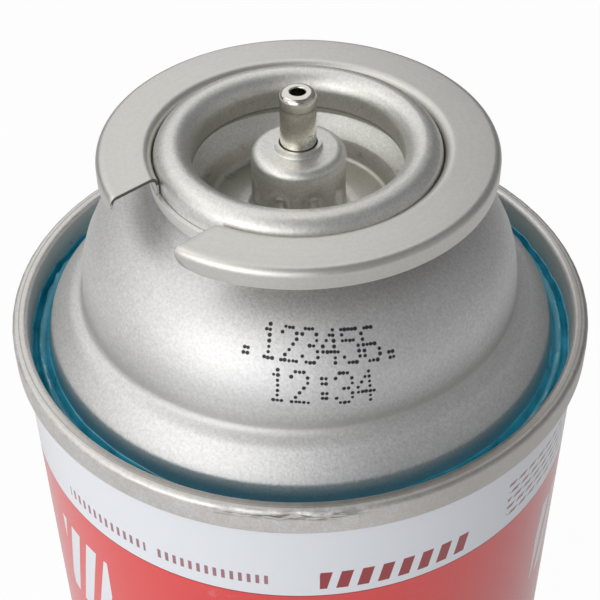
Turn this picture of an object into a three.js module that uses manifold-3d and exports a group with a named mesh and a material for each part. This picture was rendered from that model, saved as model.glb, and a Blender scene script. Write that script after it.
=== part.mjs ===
// Fuel canister: a tinplate can with two seamed ends, a crimped valve cup and a notched bayonet collar.
// Lengths are millimetres and +Z is up. The origin is the middle of the rest plane, the notch faces -Y.

import * as THREE from "three";
import { mergeVertices } from "three/addons/utils/BufferGeometryUtils.js";
import Module from "manifold-3d";

const wasm = await Module();
wasm.setup();

// Flat sides of the pressed steel pieces and of the small turned pieces in the valve,
// and how far the flats of a rounded corner may stand off its true arc
const PRESSED_SIDES = 28;
const VALVE_SIDES = 20;
const ROUND_ERROR = 0.06;

// Can: rest plane to the crest of the top seam, and the outside of both seams
const canHeight = 158.5;
const seamRadius = 34;
const seamDepth = 3.4;
const seamRound = 0.4;
const seamPlay = 0.02;
const endSheet = 0.3;
const bodySheet = 0.24;
const wallLean = 0.35;

// Head space over the charge of liquid fuel, and the dished bottom end
const headSpace = 12.5;
const chargePlay = 0.05;
const dishRimHeight = 5;
const dishRimRound = 1.2;
const dishRise = 5.8;

// Centre of the cup's bead: dome, cup and collar follow its height above the crest of the top seam
const mouthRadius = 14.085;
const mouthHeight = 20.7;

// Dome: heights are above the crest, drops are below the mouth, insets are inwards from the form before
const grooveDepth = 5.4;
const grooveWidth = 1.9;
const grooveRound = 0.9;
const riserLean = 1.05;
const footHeight = -0.95;
const footRound = 0.8;
const bulgeInset = 2.49;
const bulgeHeight = 1.95;
const bulgeRound = 2;
const creaseInset = 1.6;
const creaseHeight = 2.65;
const shoulderInset = 0.9;
const shoulderDrop = 8.05;
const shoulderRound = 11;
const neckBaseDrop = 5;
const neckBaseRound = 2;

// Bead: it is rolled over the dome's curl with a rubber seal between, and its inner wall is crimped under it
const beadRound = 1.585;
const cupSheet = 0.4;
const cupSeal = 0.25;
const fitPlay = 0.02;
const cupSkirtDrop = 1.3;
const crimpDrop = 3.4;
const crimpReach = 0.95;
const crimpRise = 1.1;
const crimpRound = 0.5;

// Cup: ridge and channel floor below the mouth, pedestal for the valve and the lip round the stem above it
const ridgeInset = 1;
const ridgeDrop = 5.8;
const channelInset = 1;
const channelDrop = 7.9;
const channelRound = 0.9;
const pedestalRadius = 5.27;
const pedestalRise = 0.3;
const pedestalRound = 1;
const lipRise = 0.7;
const lipRound = 0.4;

// Dimples pressed into the pedestal lock the valve housing
const dimpleCount = 8;
const dimpleRadius = 0.75;
const dimpleStretch = 1.7;
const dimpleDrop = 5.5;
const dimpleDepth = 0.35;

// Bayonet collar: gap from the bead to its sleeve, width of its flat, and its rise over the mouth
const sleeveGap = 0.58;
const flatWidth = 5.6;
const collarRise = 1;
const collarSheet = 0.5;
const collarEdgeRound = 0.65;
const collarRollRound = 0.85;
const skirtHeight = 2.3;
const flangeRound = 0.4;
const flangeRise = 0.55;
const notchWidth = 10.5;
const notchFlare = 3.1;

// Sealant run into the groove between the dome and the seam, with a film that creeps up both walls
const sealantDepth = 1.3;
const wallCreep = 1.2;
const riserCreep = 2.9;
const sealantFilm = 0.2;

// Stem, its gasket and its spring
const stemRadius = 1.95;
const stemRise = 7.3;
const stemRound = 0.6;
const stemBore = 0.83;
const stemPlay = 0.02;
const lipPlay = 0.15;
const gasketThickness = 0.95;
const inletHole = 0.3;
const flangeRadius = 3.1;
const flangeThickness = 1.5;
const bossRadius = 1.6;
const bossLength = 1.4;
const springWire = 0.5;
const springTurns = 6;
const springPlay = 0.15;

// Valve housing and the bent tube that takes the gas in
const housingWall = 0.7;
const housingShoulder = 2.7;
const housingLength = 8.6;
const housingFloor = 1;
const nippleRadius = 1.2;
const nippleBore = 0.7;
const nippleLength = 3;
const tubeBore = 1.3;
const tubeWall = 0.5;
const tubeBend = 4;
const tubeGap = 3.8;

const point = (radius, height) => new THREE.Vector2(radius, height);

// A corner of a path, rounded with an arc of the given radius.
const corner = (radius, height, round = 0) => ({ at: point(radius, height), round });

// Runs through the corners and puts an arc in place of each rounded one. The arc's flats touch it from
// outside, so arcs round one centre stay parallel.
function roundedPath(corners) {
  return corners.flatMap(({ at, round }, i) => {
    if (!round) {
      return [at];
    }
    const inward = at.clone().sub(corners[i - 1].at).normalize();
    const outward = corners[i + 1].at.clone().sub(at).normalize();
    const turn = Math.atan2(inward.cross(outward), inward.dot(outward));
    const side = Math.sign(turn);
    const start = at.clone().addScaledVector(inward, -round * Math.tan(Math.abs(turn) / 2));
    const centre = start.clone().add(point(-inward.y, inward.x).multiplyScalar(side * round));
    const widestStep = 2 * Math.acos(round / (round + ROUND_ERROR));
    const flats = Math.ceil(Math.abs(turn) / widestStep);
    const step = turn / flats;
    const first = start.clone().addScaledVector(inward, round * Math.tan(Math.abs(step) / 2));
    return Array.from({ length: flats }, (_, k) => first.clone().rotateAround(centre, step * k));
  });
}

// Moves a path sideways, to its left when the distance is positive.
function besidePath(path, distance) {
  const runs = path.slice(1).map((at, i) => at.clone().sub(path[i]).normalize());
  return path.map((at, i) => {
    const before = runs[Math.max(i - 1, 0)];
    const after = runs[Math.min(i, runs.length - 1)];
    const left = point(-before.y - after.y, before.x + after.x).normalize();
    const mitre = left.dot(point(-before.y, before.x));
    return at.clone().addScaledVector(left, distance / mitre);
  });
}

// The outline of sheet metal pressed along a path that is the middle of its thickness.
function sheet(path, thickness) {
  return [...besidePath(path, thickness / 2), ...besidePath(path, -thickness / 2).reverse()];
}

// Turns an outline of radius and height round the Z axis. An outline that leaves the axis is closed.
function turned(outline, sides) {
  const anticlockwise = !THREE.ShapeUtils.isClockWise(outline);
  const points = anticlockwise ? [...outline] : [...outline].reverse();
  if (points[0].x > 0 || points.at(-1).x > 0) {
    points.push(points[0].clone());
  }
  return new THREE.LatheGeometry(points, sides).rotateX(Math.PI / 2);
}

function solidOf(geometry) {
  const bare = geometry.clone();
  bare.deleteAttribute("normal");
  bare.deleteAttribute("uv");
  const merged = mergeVertices(bare, 1e-4);
  return new wasm.Manifold(
    new wasm.Mesh({
      numProp: 3,
      vertProperties: merged.attributes.position.array,
      triVerts: new Uint32Array(merged.index.array),
    }),
  );
}

function geometryOf(solid) {
  const mesh = solid.getMesh();
  const geometry = new THREE.BufferGeometry();
  geometry.setAttribute("position", new THREE.BufferAttribute(mesh.vertProperties, 3));
  geometry.setIndex(new THREE.BufferAttribute(mesh.triVerts, 1));
  geometry.computeVertexNormals();
  return geometry;
}

const canister = new THREE.Group();

function addPiece(name, geometry, colour, roughness, metalness) {
  const material = new THREE.MeshStandardMaterial({ color: colour, roughness, metalness });
  const mesh = new THREE.Mesh(geometry, material);
  mesh.name = name;
  canister.add(mesh);
  return mesh;
}

// Double seam, from the outside in: end wall, body hook, end hook, body wall, chuck wall
const endWallRadius = seamRadius - endSheet / 2;
const layerPitch = (endSheet + bodySheet) / 2 + seamPlay;
const bodyHookRadius = endWallRadius - layerPitch;
const endHookRadius = bodyHookRadius - layerPitch;
const bodyWallRadius = endHookRadius - layerPitch;
const chuckRadius = bodyWallRadius - layerPitch;
const endCrest = endSheet / 2;
const endFold = seamDepth - endSheet / 2;
const bodyCrest = endCrest + layerPitch;
const foldRound = (endWallRadius - endHookRadius) / 2;
const hookTipPlay = 0.25;

// An end's share of the double seam, from the tip of its hook to the chuck wall's foot.
// Depths are below the crest.
function endSeam(footRadius, footDepth, footRoundness) {
  const hookTip = bodyCrest + bodySheet / 2 + hookTipPlay;
  return [
    corner(endHookRadius, -hookTip),
    corner(endHookRadius, -endFold, foldRound),
    corner(endWallRadius, -endFold, foldRound),
    corner(endWallRadius, -endCrest, seamRound),
    corner(chuckRadius, -endCrest, seamRound),
    corner(footRadius, -footDepth, footRoundness),
  ];
}

const raised = (corners, height) => corners.map(({ at, round }) => corner(at.x, at.y + height, round));
const flipped = (corners) => corners.map(({ at, round }) => corner(at.x, -at.y, round));

// Bottom end: the panel is a shallow dish that bows up into the can
const dishRimRadius = chuckRadius - wallLean;
const dishRadius = (dishRimRadius ** 2 + dishRise ** 2) / (2 * dishRise);
const dishTop = dishRimHeight + dishRise;
const dishHeight = (radius) => dishTop - dishRadius + Math.sqrt(dishRadius ** 2 - radius ** 2);
const dishPoint = (share) => corner(dishRimRadius * share, dishHeight(dishRimRadius * share));
const bottomPath = roundedPath([
  ...flipped(endSeam(dishRimRadius, dishRimHeight, dishRimRound)),
  dishPoint(0.8),
  dishPoint(0.55),
  dishPoint(0.25),
  corner(0, dishTop),
]);
const bottomOutline = sheet(bottomPath, endSheet);
const axisPoint = bottomPath.length - 1;
bottomOutline[axisPoint].set(0, dishTop - endSheet / 2);
bottomOutline[axisPoint + 1].set(0, dishTop + endSheet / 2);
addPiece("bottom_end", turned(bottomOutline, PRESSED_SIDES), 0xc3c5c6, 0.35, 1);

// Can body: the tinplate tube with its hooks, closed inside by the charge that it holds
const bodyInside = bodyWallRadius - bodySheet / 2;
const bodyHookTip = endFold - endSheet / 2 - hookTipPlay;
const bodySeam = (sign, crest) => [
  corner(bodyHookRadius, crest - sign * bodyHookTip),
  corner(bodyHookRadius, crest - sign * bodyCrest, seamRound / 2),
  corner(bodyWallRadius, crest - sign * bodyCrest, seamRound / 2),
  corner(bodyWallRadius, crest - sign * seamDepth * 2),
];
const topHook = sheet(roundedPath(bodySeam(1, canHeight)), bodySheet);
const bottomHook = sheet(roundedPath(bodySeam(-1, 0)), bodySheet);
const chargeUnder = (share) => {
  const radius = dishRimRadius * share;
  return point(radius, dishHeight(radius) + endSheet / 2 + chargePlay);
};
const chargeHeight = canHeight - headSpace;
const hookPoints = topHook.length / 2;
const topInside = topHook.slice(0, hookPoints);
const topOutside = topHook.slice(hookPoints);
const bottomInside = bottomHook.slice(hookPoints).reverse();
const bottomOutside = bottomHook.slice(0, hookPoints).reverse();
const bodyOutline = [
  point(0, chargeHeight),
  point(bodyInside, chargeHeight),
  ...topOutside.slice(1),
  ...topInside.slice(0, -1),
  ...bottomOutside.slice(1),
  ...bottomInside.slice(0, -1),
  point(bodyInside, dishRimHeight + endSheet + chargePlay),
  chargeUnder(0.94),
  chargeUnder(0.8),
  chargeUnder(0.55),
  chargeUnder(0.25),
  point(0, dishTop + endSheet / 2 + chargePlay),
];
addPiece("can_body", turned(bodyOutline, PRESSED_SIDES), 0xeef0f4, 0.3, 0.1);

// Top dome: seam, groove, foot, bulge, crease, shoulder and neck, then the curl that the cup closes on
const grooveOuter = chuckRadius - wallLean;
const grooveInner = grooveOuter - grooveWidth;
const footRadius = grooveInner - riserLean;
const bulgeRadius = footRadius - bulgeInset;
const creaseRadius = bulgeRadius - creaseInset;
const shoulderRadius = creaseRadius - shoulderInset;
const sealRound = beadRound - cupSheet / 2 - fitPlay;
const curlRound = sealRound - cupSeal - fitPlay - endSheet / 2;
const curlInner = mouthRadius - curlRound;
const curlOuter = mouthRadius + curlRound;
const curlTop = mouthHeight + curlRound;
const cupSkirtRadius = mouthRadius + beadRound;
const sleeveMiddle = cupSkirtRadius + cupSheet / 2 + sleeveGap - collarSheet / 2;
const neckBaseRadius = sleeveMiddle + collarSheet;
const crimpHeight = mouthHeight - crimpDrop;
const flangeHeight = crimpHeight + flangeRise;
const flangeInner = mouthRadius + crimpReach / 2 + fitPlay;
const neckTopRadius = flangeInner - collarSheet;
const neckTopHeight = flangeHeight - collarSheet / 2 - 0.1;
const groove = [
  corner(grooveOuter, -grooveDepth, grooveRound),
  corner(grooveInner, -grooveDepth, grooveRound),
  corner(footRadius, footHeight, footRound),
];
const domePath = roundedPath(
  raised(
    [
      ...endSeam(grooveOuter, grooveDepth, grooveRound),
      ...groove.slice(1),
      corner(bulgeRadius, bulgeHeight, bulgeRound),
      corner(creaseRadius, creaseHeight),
      corner(shoulderRadius, mouthHeight - shoulderDrop, shoulderRound),
      corner(neckBaseRadius, mouthHeight - neckBaseDrop, neckBaseRound),
      corner(neckTopRadius, neckTopHeight, crimpRound),
      corner(curlInner, mouthHeight - crimpDrop / 2 + 0.3, crimpRound),
      corner(curlInner, curlTop, curlRound),
      corner(curlOuter, curlTop, curlRound),
      corner(curlOuter, flangeHeight + collarSheet / 2 + fitPlay),
    ],
    canHeight,
  ),
);
addPiece("top_dome", turned(sheet(domePath, endSheet), PRESSED_SIDES), 0xb4b5b4, 0.4, 1);

// Sealant: it lies on the groove's floor, and its film thins out up both walls
const grooveSkin = besidePath(
  roundedPath(raised([corner(chuckRadius, 0), ...groove.slice(0, 2), corner(footRadius, footHeight)], canHeight)),
  -endSheet / 2 - fitPlay,
);
// A point beside a wall of the groove: so far up it from its foot, and so far off it to the left
function besideWall(foot, top, climb, off) {
  const up = top.clone().sub(foot).normalize();
  return foot.clone().addScaledVector(up, climb).addScaledVector(point(-up.y, up.x), off);
}
const onOuter = (climb, off) => besideWall(grooveSkin[1], grooveSkin[0], climb, off);
const onRiser = (climb, off) => besideWall(grooveSkin.at(-2), grooveSkin.at(-1), climb, -off);
const sealantMiddle = (grooveSkin[1].x + grooveSkin.at(-2).x) / 2;
const sealantLevel = canHeight - grooveDepth + endSheet / 2 + sealantDepth;
const sealantHalf = (grooveSkin[1].x - grooveSkin.at(-2).x) / 5;
addPiece(
  "rim_sealant",
  turned(
    [
      ...grooveSkin.slice(1, -1),
      onRiser(riserCreep, 0),
      onRiser(riserCreep - sealantFilm, sealantFilm),
      onRiser(sealantDepth, sealantFilm),
      point(sealantMiddle - sealantHalf, sealantLevel),
      point(sealantMiddle + sealantHalf, sealantLevel),
      onOuter(wallCreep - sealantFilm, sealantFilm),
      onOuter(wallCreep, 0),
    ],
    PRESSED_SIDES,
  ),
  0x3f8f9f,
  0.2,
  0,
);

// Bayonet collar: skirt, flat, rolled inner edge and sleeve, with a flange held under the dome's curl
const collarRadius = sleeveMiddle + collarSheet / 2 + flatWidth;
const collarTop = mouthHeight + collarRise;
const skirtMiddle = collarRadius - collarSheet / 2;
const skirtEnd = collarTop - skirtHeight;
const flatMiddle = collarTop - collarSheet / 2;
const collarPath = roundedPath(
  raised(
    [
      corner(skirtMiddle, skirtEnd),
      corner(skirtMiddle, flatMiddle, collarEdgeRound),
      corner(sleeveMiddle, flatMiddle, collarRollRound),
      corner(sleeveMiddle, flangeHeight, flangeRound),
      corner(flangeInner, flangeHeight),
    ],
    canHeight,
  ),
);
// The notch is straight through the flat, and the skirt's ends are cut back in a curve below it.
const notchDepth = skirtHeight + collarSheet;
const notchCutter = new THREE.BoxGeometry(notchWidth, collarRadius * 2, notchDepth * 2);
notchCutter.translate(0, -collarRadius, canHeight + skirtEnd + notchDepth);
const flareHalf = notchWidth / 2 + notchFlare;
const flareTop = collarTop - collarSheet;
const flareShape = new THREE.Shape();
flareShape.moveTo(-notchWidth / 2, flareTop);
flareShape.quadraticCurveTo(-notchWidth / 2, skirtEnd, -flareHalf, skirtEnd);
flareShape.lineTo(-flareHalf, skirtEnd - collarSheet);
flareShape.lineTo(flareHalf, skirtEnd - collarSheet);
flareShape.lineTo(flareHalf, skirtEnd);
flareShape.quadraticCurveTo(notchWidth / 2, skirtEnd, notchWidth / 2, flareTop);
const flareCutter = new THREE.ExtrudeGeometry(flareShape, {
  depth: collarRadius - sleeveMiddle,
  bevelEnabled: false,
  curveSegments: 4,
});
flareCutter.rotateX(Math.PI / 2).translate(0, -sleeveMiddle - collarSheet, canHeight);
const collarSolid = solidOf(turned(sheet(collarPath, collarSheet), PRESSED_SIDES))
  .subtract(solidOf(notchCutter))
  .subtract(solidOf(flareCutter));
addPiece("collar_ring", geometryOf(collarSolid), 0xbebbb4, 0.45, 1);

// Mounting cup: skirt, bead, crimp, channel, pedestal and the lip round the stem
const cupWallRadius = mouthRadius - beadRound;
const beadTop = mouthHeight + beadRound;
const crimpRadius = cupWallRadius + crimpReach;
const ridgeRadius = cupWallRadius - ridgeInset;
const channelRadius = ridgeRadius - channelInset;
const channelHeight = mouthHeight - channelDrop;
const pedestalTop = mouthHeight + pedestalRise;
const pedestalMiddle = pedestalRadius - cupSheet / 2;
const plateMiddle = pedestalTop - cupSheet / 2;
const lipRadius = stemRadius + lipPlay + cupSheet / 2;
const cupPath = roundedPath(
  raised(
    [
      corner(cupSkirtRadius, mouthHeight - cupSkirtDrop),
      corner(cupSkirtRadius, beadTop, beadRound),
      corner(cupWallRadius, beadTop, beadRound),
      corner(cupWallRadius, crimpHeight + crimpRise, crimpRound / 2),
      corner(crimpRadius, crimpHeight, crimpRound),
      corner(ridgeRadius, mouthHeight - ridgeDrop, crimpRound),
      corner(channelRadius, channelHeight, channelRound),
      corner(pedestalMiddle, channelHeight, channelRound),
      corner(pedestalMiddle, plateMiddle, pedestalRound - cupSheet / 2),
      corner(lipRadius, plateMiddle, lipRound),
      corner(lipRadius, pedestalTop + lipRise),
    ],
    canHeight,
  ),
);
// Each dimple is a hollow outside with a bump inside, both egg-shaped on one centre.
function egg(radius) {
  return new THREE.SphereGeometry(radius, 10, 6).rotateX(Math.PI / 2).scale(1, 1, dimpleStretch);
}
let cupSolid = solidOf(turned(sheet(cupPath, cupSheet), PRESSED_SIDES));
const dimpleCentre = pedestalRadius + dimpleRadius - dimpleDepth;
const bumpCore = new THREE.CylinderGeometry(pedestalMiddle, pedestalMiddle, pedestalTop, PRESSED_SIDES);
bumpCore.rotateX(Math.PI / 2).translate(0, 0, canHeight + pedestalTop / 2);
const bumpLimit = solidOf(bumpCore);
for (let i = 0; i < dimpleCount; i++) {
  const around = ((i + 0.5) / dimpleCount) * 2 * Math.PI;
  const place = (geometry) => geometry.translate(dimpleCentre, 0, canHeight + mouthHeight - dimpleDrop).rotateZ(around);
  const bump = solidOf(place(egg(dimpleRadius + cupSheet))).intersect(bumpLimit);
  cupSolid = cupSolid.add(bump).subtract(solidOf(place(egg(dimpleRadius))));
}
addPiece("mounting_cup", geometryOf(cupSolid), 0xc2c3c2, 0.3, 1);

// Cup seal: a rubber ring bent over the dome's curl, inside the bead
const sealMiddle = sealRound - cupSeal / 2;
const sealPath = roundedPath(
  raised(
    [
      corner(mouthRadius + sealMiddle, mouthHeight - cupSkirtDrop),
      corner(mouthRadius + sealMiddle, mouthHeight + sealMiddle, sealMiddle),
      corner(mouthRadius - sealMiddle, mouthHeight + sealMiddle, sealMiddle),
      corner(mouthRadius - sealMiddle, mouthHeight - cupSkirtDrop),
    ],
    canHeight,
  ),
);
addPiece("cup_seal", turned(sheet(sealPath, cupSeal), PRESSED_SIDES), 0x2a2a2a, 0.8, 0);

// Stem gasket: the stem slides through it, and it closes the stem's inlet hole at rest
const plateUnder = pedestalTop - cupSheet;
const gasketTop = plateUnder - fitPlay;
const gasketUnder = gasketTop - gasketThickness;
const gasketRadius = pedestalRadius - pedestalRound;
addPiece(
  "stem_gasket",
  turned(
    [
      point(stemRadius + stemPlay, canHeight + gasketUnder),
      point(gasketRadius, canHeight + gasketUnder),
      point(gasketRadius, canHeight + gasketTop),
      point(stemRadius + stemPlay, canHeight + gasketTop),
    ],
    VALVE_SIDES,
  ),
  0x1f1f1f,
  0.85,
  0,
);

// Valve housing: its shoulder sits on the dimples, and its nipple holds the tube
const housingRadius = pedestalRadius - cupSheet - lipPlay;
const housingTop = gasketUnder - fitPlay;
const housingBottom = housingTop - housingLength;
const chamberRadius = housingRadius - 2 * housingWall;
const chamberFloor = housingBottom + housingFloor;
const lowerRadius = chamberRadius + housingWall;
addPiece(
  "valve_housing",
  turned(
    [
      [nippleBore, housingBottom - nippleLength],
      [nippleRadius, housingBottom - nippleLength],
      [nippleRadius, housingBottom],
      [lowerRadius - housingWall, housingBottom],
      [lowerRadius, housingBottom + housingWall],
      [lowerRadius, housingTop - housingShoulder],
      [housingRadius, housingTop - housingShoulder],
      [housingRadius, housingTop],
      [chamberRadius, housingTop],
      [chamberRadius, chamberFloor],
      [nippleBore, chamberFloor],
    ].map(([radius, height]) => point(radius, canHeight + height)),
    VALVE_SIDES,
  ),
  0xe8e6df,
  0.5,
  0,
);

// Valve stem: nozzle above, flange and spring boss below, a blind bore fed by one cross hole
const stemTop = pedestalTop + stemRise;
const flangeTop = gasketUnder - fitPlay;
const flangeUnder = flangeTop - flangeThickness;
const stemPath = roundedPath(
  raised(
    [
      corner(0, flangeUnder - bossLength),
      corner(bossRadius, flangeUnder - bossLength),
      corner(bossRadius, flangeUnder),
      corner(flangeRadius, flangeUnder),
      corner(flangeRadius, flangeTop),
      corner(stemRadius, flangeTop),
      corner(stemRadius, stemTop, stemRound),
      corner(stemBore, stemTop, 0.15),
      corner(stemBore, flangeTop + gasketThickness / 4),
      corner(0, flangeTop + gasketThickness / 4),
    ],
    canHeight,
  ),
);
const crossHole = new THREE.CylinderGeometry(inletHole, inletHole, stemRadius * 2, 10);
crossHole.rotateX(Math.PI / 2).rotateX(Math.PI / 2).translate(0, -stemRadius, 0);
crossHole.translate(0, 0, canHeight + flangeTop + gasketThickness / 4 + inletHole + fitPlay);
const stemSolid = solidOf(turned(stemPath, VALVE_SIDES)).subtract(solidOf(crossHole));
addPiece("valve_stem", geometryOf(stemSolid), 0xcfcfcd, 0.2, 1);

// Valve spring: round wire between the housing's floor and the stem's flange, with a closed turn at each end
const springRadius = (bossRadius + chamberRadius) / 2;
class SpringCurve extends THREE.Curve {
  getPoint(share, target = new THREE.Vector3()) {
    const low = canHeight + chamberFloor + springWire / 2 + springPlay;
    const high = canHeight + flangeUnder - springWire / 2 - springPlay;
    const rise = THREE.MathUtils.clamp((share * springTurns - 0.5) / (springTurns - 1), 0, 1);
    const angle = share * springTurns * 2 * Math.PI;
    return target.set(springRadius * Math.cos(angle), springRadius * Math.sin(angle), low + (high - low) * rise);
  }
}
const wireSection = new THREE.Shape(new THREE.EllipseCurve(0, 0, springWire / 2, springWire / 2).getPoints(6).slice(0, 6));
const springWireBody = new THREE.ExtrudeGeometry(wireSection, {
  steps: springTurns * 10,
  extrudePath: new SpringCurve(),
});
addPiece("valve_spring", springWireBody, 0xb9bbbd, 0.3, 1);

// Gas inlet tube: pushed on the nipple and bent towards the notch, so it draws gas with the notch upwards
const tubeRing = (radius) => new THREE.EllipseCurve(0, 0, radius, radius).getPoints(8).slice(0, 8);
const tubeSection = new THREE.Shape(tubeRing(tubeBore + tubeWall));
tubeSection.holes.push(new THREE.Path(tubeRing(tubeBore).reverse()));
const tubeReach = creaseRadius - tubeGap;
const tubeStart = canHeight + housingBottom - fitPlay;
const tubeLevel = tubeStart - nippleLength - tubeBend;
const onTube = (reach, height) => new THREE.Vector3(0, -reach, height);
const tubeLine = new THREE.CurvePath();
tubeLine.add(new THREE.LineCurve3(onTube(0, tubeStart), onTube(0, tubeLevel + tubeBend)));
tubeLine.add(
  new THREE.QuadraticBezierCurve3(onTube(0, tubeLevel + tubeBend), onTube(0, tubeLevel), onTube(tubeBend, tubeLevel)),
);
tubeLine.add(new THREE.LineCurve3(onTube(tubeBend, tubeLevel), onTube(tubeReach, tubeLevel)));
const tubeBody = new THREE.ExtrudeGeometry(tubeSection, { steps: 14, extrudePath: tubeLine });
addPiece("gas_inlet_tube", tubeBody, 0xe3e1d8, 0.5, 0);

export default canister;
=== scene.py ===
"""Looks of a fuel canister: turned sheet metal, a crimped valve cup, a bayonet collar and a printed can."""

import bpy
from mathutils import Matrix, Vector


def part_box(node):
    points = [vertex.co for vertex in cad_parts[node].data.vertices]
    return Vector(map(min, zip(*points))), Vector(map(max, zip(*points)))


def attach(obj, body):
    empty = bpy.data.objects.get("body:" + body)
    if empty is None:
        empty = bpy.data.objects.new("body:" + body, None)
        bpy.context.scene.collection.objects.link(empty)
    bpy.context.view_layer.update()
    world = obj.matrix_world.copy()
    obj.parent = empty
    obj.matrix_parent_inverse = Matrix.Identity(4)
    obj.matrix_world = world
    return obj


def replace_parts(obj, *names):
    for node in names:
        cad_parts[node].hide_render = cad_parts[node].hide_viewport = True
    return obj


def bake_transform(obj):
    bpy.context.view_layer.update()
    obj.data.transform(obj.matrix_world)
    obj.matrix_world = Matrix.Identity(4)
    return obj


bl_info = {
    "name": "Fuel canister looks",
    "version": (1, 0, 0),
    "blender": (4, 5, 0),
    "location": "View3D > Sidebar > Canister",
    "description": "Builds the visible skins, print and studio of a fuel canister on its packed frame",
    "category": "Object",
}

import math

import bpy
import numpy as np
from bpy.props import FloatProperty, FloatVectorProperty, IntProperty, PointerProperty, StringProperty
from mathutils import Matrix, Vector

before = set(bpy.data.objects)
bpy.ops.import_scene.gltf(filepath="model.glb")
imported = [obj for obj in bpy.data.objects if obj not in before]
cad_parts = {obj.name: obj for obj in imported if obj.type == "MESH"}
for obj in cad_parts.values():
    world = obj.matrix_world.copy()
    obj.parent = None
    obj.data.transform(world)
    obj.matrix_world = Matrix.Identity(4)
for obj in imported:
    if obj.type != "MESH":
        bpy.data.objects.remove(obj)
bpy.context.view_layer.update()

CAN = "canister"
STEM = "stem"
MM = 0.001
# Sides of the turned pieces
SIDES = 160
DOME_SIDES = 300
SEALANT_SIDES = 480
STEM_SIDES = 96
COLLAR_SIDES = 150
# Rounding of a half circle as a share of its radius, so that its two arcs don't meet
HALF_CIRCLE = 0.999


def length(name, default, description):
    """A size in metres."""
    return FloatProperty(name=name, description=description, default=default, unit="LENGTH", precision=5)


def angle(name, degrees, description):
    """An angle, given in degrees and kept in radians."""
    return FloatProperty(name=name, description=description, default=math.radians(degrees), subtype="ANGLE")


def colour(name, default, description):
    """A colour in linear light."""
    return FloatVectorProperty(name=name, description=description, default=default, size=3, subtype="COLOR")


class CanSizes(bpy.types.PropertyGroup):
    """Can body and double seams"""

    height: length("Height", 0.1585, "Rest plane to the crest of the top seam")
    seam_radius: length("Seam radius", 0.034, "Outside of both double seams")
    seam_depth: length("Seam depth", 0.0034, "Height of a double seam")
    seam_round: length("Seam round", 0.0004, "Rounding of the seam's crest")
    play: length("Play", 0.00002, "Gap between the layers of a seam")
    end_sheet: length("End sheet", 0.0003, "Thickness of both ends")
    body_sheet: length("Body sheet", 0.00024, "Thickness of the body")
    wall_lean: length("Wall lean", 0.00035, "How far the chuck wall leans inwards")
    crest_reach: length("Crest reach", 0.0003, "How much further in than the chuck wall the crest ends")
    hook_gap: length("Hook gap", 0.00037, "Gap over the end of the hook")
    dish_rim: length("Dish rim", 0.005, "Height of the bottom dish's rim")
    dish_rise: length("Dish rise", 0.0058, "Height of the bottom dish")


class DomeSizes(bpy.types.PropertyGroup):
    """Top dome, with heights above the crest of the top seam"""

    groove_depth: length("Groove depth", 0.0054, "Depth of the groove inside the seam")
    groove_width: length("Groove width", 0.0019, "Width of the groove")
    groove_round: length("Groove round", 0.0009, "Rounding of the groove's corners")
    riser_lean: length("Riser lean", 0.00105, "How far the groove's inner wall leans inwards")
    foot_height: length("Foot height", -0.00095, "Top of the groove's inner wall")
    bulge_radius: length("Bulge radius", 0.0269, "Radius of the lower bulge")
    bulge_height: length("Bulge height", 0.00195, "Height of the lower bulge")
    crease_radius: length("Crease radius", 0.0253, "Radius of the crease under the shoulder")
    crease_height: length("Crease height", 0.00265, "Height of the crease")
    shoulder_radius: length("Shoulder radius", 0.0244, "Radius where the shoulder's two lines meet")
    shoulder_height: length("Shoulder height", 0.01265, "Height where the shoulder's two lines meet")
    shoulder_round: length("Shoulder round", 0.011, "Rounding of the shoulder")
    neck_height: length("Neck height", 0.0157, "Height of the foot of the neck")
    sealant_depth: length("Sealant depth", 0.0012, "Depth of the sealant in the groove")
    sealant_film: length("Sealant film", 0.0002, "Thickness of the sealant that creeps up the walls")
    wall_creep: length("Wall creep", 0.0010, "How far the sealant creeps up the outer wall")
    riser_creep: length("Riser creep", 0.0016, "How far the sealant creeps up the inner wall")


class CupSizes(bpy.types.PropertyGroup):
    """Valve cup, with heights above the crest of the top seam"""

    mouth_radius: length("Mouth radius", 0.01383, "Middle of the rolled bead")
    mouth_height: length("Mouth height", 0.0204, "Centre of the rolled bead")
    bead_round: length("Bead round", 0.00188, "Rounding of the bead at the middle of its sheet")
    sheet: length("Sheet", 0.0004, "Thickness of the cup")
    seal: length("Seal", 0.00025, "Thickness of the seal in the bead")
    skirt_drop: length("Skirt drop", 0.0010, "Bead centre to the end of its skirt")
    crimp_drop: length("Crimp drop", 0.0031, "Bead centre to the crimp")
    crimp_reach: length("Crimp reach", 0.0015, "How far the crimp bulges outwards")
    ridge_radius: length("Ridge radius", 0.0115, "Radius of the ridge under the crimp")
    ridge_height: length("Ridge height", 0.0149, "Height of the ridge")
    channel_radius: length("Channel radius", 0.0105, "Outer edge of the channel's floor")
    channel_height: length("Channel height", 0.0128, "Height of the channel's floor")
    pedestal_radius: length("Pedestal radius", 0.00527, "Outside of the pedestal")
    pedestal_top: length("Pedestal top", 0.021, "Top face of the pedestal")
    lip_top: length("Lip top", 0.0217, "Top of the lip round the stem")
    dimples: IntProperty(name="Dimples", description="Dimples that lock the valve housing", default=8, min=0)
    dimple_height: length("Dimple height", 0.0163, "Height of the dimples")
    dimple_depth: length("Dimple depth", 0.0013, "How far a dimple is pushed in")
    stem_play: length("Stem play", 0.00015, "Gap between the lip and the stem")


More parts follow.
